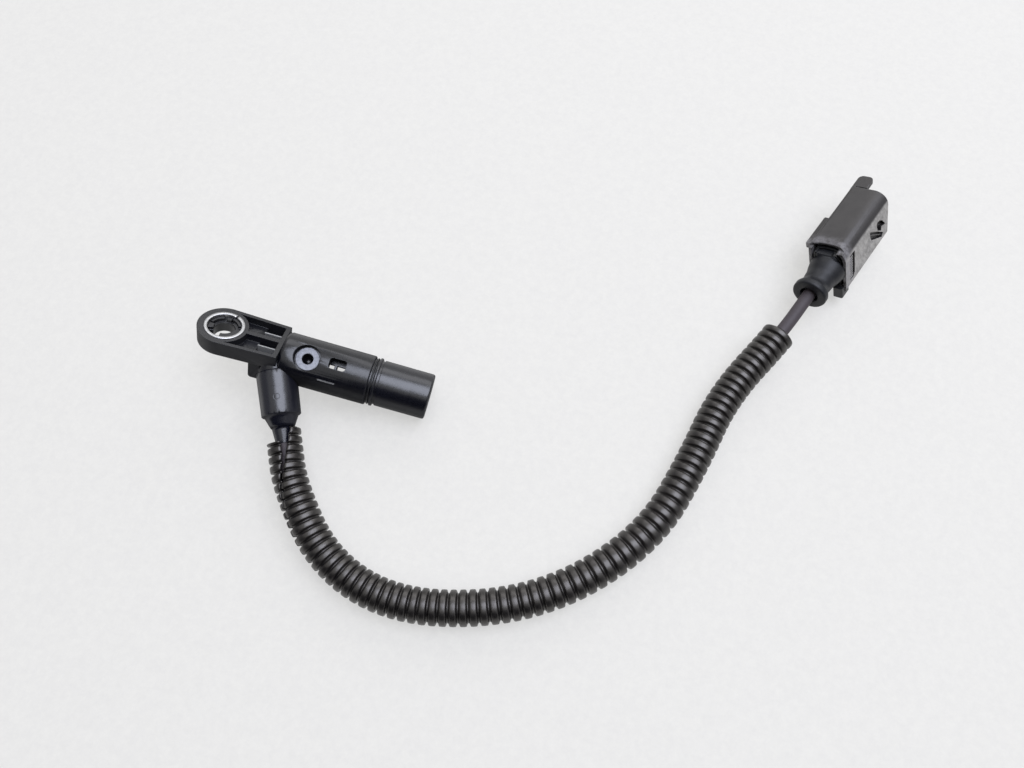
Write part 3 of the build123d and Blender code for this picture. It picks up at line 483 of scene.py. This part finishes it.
def make_tubing():
    """The split tubing as a plain mesh."""
    tree, ribs = tube_tree(TUBE_LENGTH)
    line = route_curve("tubing_line")
    modifier = line.modifiers.new("tubing", "NODES")
    modifier.node_group = tree
    sockets = {item.name: item.identifier for item in tree.interface.items_tree if item.in_out == "INPUT"}
    modifier[sockets["Ribs"]] = ribs
    modifier[sockets["Material"]] = tubing_nylon
    mesh = bpy.data.meshes.new_from_object(line.evaluated_get(bpy.context.evaluated_depsgraph_get()))
    bpy.data.objects.remove(line)
    mesh.name = "split_tubing"
    obj = bpy.data.objects.new("split_tubing", mesh)
    bpy.context.scene.collection.objects.link(obj)
    made = bmesh.new()
    made.from_mesh(mesh)
    bmesh.ops.recalc_face_normals(made, faces=made.faces)
    made.to_mesh(mesh)
    made.free()
    mesh.shade_smooth()
    wall = obj.modifiers.new("wall", "SOLIDIFY")
    wall.thickness = TUBE_WALL * MM
    wall.offset = -1.0
    shade(obj, tubing_nylon)
    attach(obj, "root")
    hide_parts("conduit")
    return obj


def along_route(start, end):
    """The part of the route's line between two lengths from its start, in metres."""
    points = route_line()
    kept = []
    gone = 0.0
    for a, b in zip(points, points[1:]):
        step = (b - a).length
        if start <= gone <= end:
            kept.append(a)
        gone += step
    return kept, gone


tubing = make_tubing()
tube_path, route_length = along_route(TUBE_START * MM, (TUBE_START + TUBE_LENGTH) * MM)
print("route length mm", round(route_length / MM, 1))

# Every visible moulding, as a finished skin over its solid.
housing = dressed("sensor_housing", housing_nylon, 0.14)
cap = dressed("nose_cap", cap_nylon, 0.0)
bush = dressed("mounting_bush", bush_steel, 0.0)
retainer = dressed("screw_retainer", retainer_nylon, 0.1)
disc = dressed("gate_disc", disc_steel, 0.08)
boot = dressed("outlet_boot", boot_moulding, 0.0)
hood = dressed("connector_housing", connector_polyester, 0.12)
conn_boot = dressed("connector_boot", connector_rubber, 0.0, sharp=50.0)
cover = dressed("rear_cover", cover_polyester, 0.1)

LEFT = {
    "seal_ring": seal_silicone, "chip_carrier": housing_nylon, "hall_chip": chip_epoxy,
    "bias_magnet": sintered_ferrite, "capacitor": fired_ceramic, "lead_1": lead_alloy, "lead_2": lead_alloy,
    "lead_3": lead_alloy, "pocket_strip_1": strip_metal_and_painted_highlight, "pocket_strip_2": strip_metal_and_painted_highlight,
    "side_strip": strip_metal_and_painted_highlight, "head_core_1": core_sleeve, "head_core_2": core_sleeve,
    "head_core_3": core_sleeve, "terminal_lock": cover_polyester, "wire_seal": seal_silicone,
    "pin_1": tinned_bronze, "pin_2": tinned_bronze, "pin_3": tinned_bronze, "conn_core_1": core_sleeve,
    "conn_core_2": core_sleeve, "conn_core_3": core_sleeve,
}
for name, material in LEFT.items():
    shade(nodes[name], material)

FLOOR_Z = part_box("nose_cap")[0].z
TABLE_REACH = 3.0
# Share of the table's look that is its plain colour. The rest is lit, and keeps the object's shadow.
PLAIN_SHARE = 0.62


def painted_board():
    """Pale painted board, faintly mottled, which cameras and reflections see mostly at its plain colour."""
    made, tree, out = blank_material("painted_board")
    place = add(tree, "ShaderNodeTexCoord").outputs["Object"]
    mottled = remap(tree, noise(tree, place, 2.0, 6.0, 0.7), 0.33, 0.67)
    tone = mixed(tree, mottled, linear("#e9e9e9"), linear("#f1f1f0"))
    body = add(tree, "ShaderNodeBsdfPrincipled", {"Base Color": linear("#cdcac4"), "Roughness": 0.8,
                                                  "Specular IOR Level": 0.2})
    plain = add(tree, "ShaderNodeEmission", {"Color": tone, "Strength": 1.0})
    ray = tree.nodes.new("ShaderNodeLightPath").outputs
    seen = maths(tree, "ADD", maths(tree, "ADD", ray["Is Camera Ray"], ray["Is Glossy Ray"]),
                 ray["Is Transmission Ray"], use_clamp=True)
    board = add(tree, "ShaderNodeMixShader", {0: maths(tree, "MULTIPLY", seen, PLAIN_SHARE),
                                              1: body.outputs["BSDF"], 2: plain.outputs["Emission"]})
    tree.links.new(board.outputs["Shader"], out.inputs["Surface"])
    return made


# Table top, at the height of the lowest point of the nose.
floor_mesh = bpy.data.meshes.new("table_top")
floor_mesh.from_pydata([(-TABLE_REACH, -TABLE_REACH, FLOOR_Z), (TABLE_REACH, -TABLE_REACH, FLOOR_Z),
                        (TABLE_REACH, TABLE_REACH, FLOOR_Z), (-TABLE_REACH, TABLE_REACH, FLOOR_Z)], [],
                       [(0, 1, 2, 3)])
table_top = bpy.data.objects.new("table_top", floor_mesh)
bpy.context.scene.collection.objects.link(table_top)
floor_mesh.materials.append(painted_board())

# Even pale room light.
world = bpy.data.worlds.new("room")
bpy.context.scene.world = world
world.use_nodes = True
world.node_tree.nodes.clear()
air = add(world.node_tree, "ShaderNodeBackground", {"Color": linear("#e8e8e6"), "Strength": 1.0})
room = world.node_tree.nodes.new("ShaderNodeOutputWorld")
world.node_tree.links.new(air.outputs["Background"], room.inputs["Surface"])


def screen(name, place, turn, width, height, colour):
    """An upright screen beside the table that glows evenly in its colour, lighting the object and showing in its
    reflections, kept out of the picture itself.
    """
    mesh = bpy.data.meshes.new(name)
    mesh.from_pydata([(-width / 2, 0, 0), (width / 2, 0, 0), (width / 2, 0, height), (-width / 2, 0, height)], [],
                     [(0, 1, 2, 3)])
    obj = bpy.data.objects.new(name, mesh)
    obj.location = place
    obj.rotation_euler = (0.0, 0.0, math.radians(turn))
    bpy.context.scene.collection.objects.link(obj)
    matte, branch, end = blank_material(name)
    cloth = add(branch, "ShaderNodeEmission", {"Color": linear(colour), "Strength": 1.0})
    branch.links.new(cloth.outputs["Emission"], end.inputs["Surface"])
    mesh.materials.append(matte)
    obj.visible_camera = False


# Glowing screens as room light: dark cloth in front of the table and dim walls left and right of it.
screen("front_screen", (0.09, -0.85, FLOOR_Z), 0.0, 2.6, 1.15, "#262628")
screen("left_screen", (-1.0, 0.05, FLOOR_Z), 90.0, 2.0, 1.1, "#a2a2a6")
screen("right_screen", (1.15, 0.05, FLOOR_Z), 90.0, 2.0, 0.75, "#a8a8ac")


def softbox(name, place, aim, width, height, watts, colour):
    """A soft rectangular lamp that faces a point."""
    data = bpy.data.lights.new(name, "AREA")
    data.shape = "RECTANGLE"
    data.size = width
    data.size_y = height
    data.energy = watts
    data.color = linear(colour)[:3]
    obj = bpy.data.objects.new(name, data)
    obj.location = place
    obj.rotation_euler = (Vector(aim) - Vector(place)).to_track_quat("-Z", "Y").to_euler()
    bpy.context.scene.collection.objects.link(obj)
    return obj


middle = (0.09, 0.0, 0.0)
softbox("overhead_light", (0.36, 0.17, 1.02), middle, 0.8, 0.95, 12.4, "#e6ecff")
softbox("rear_light", (0.10, 0.85, 0.62), middle, 1.3, 0.5, 3.4, "#f8f9ff")
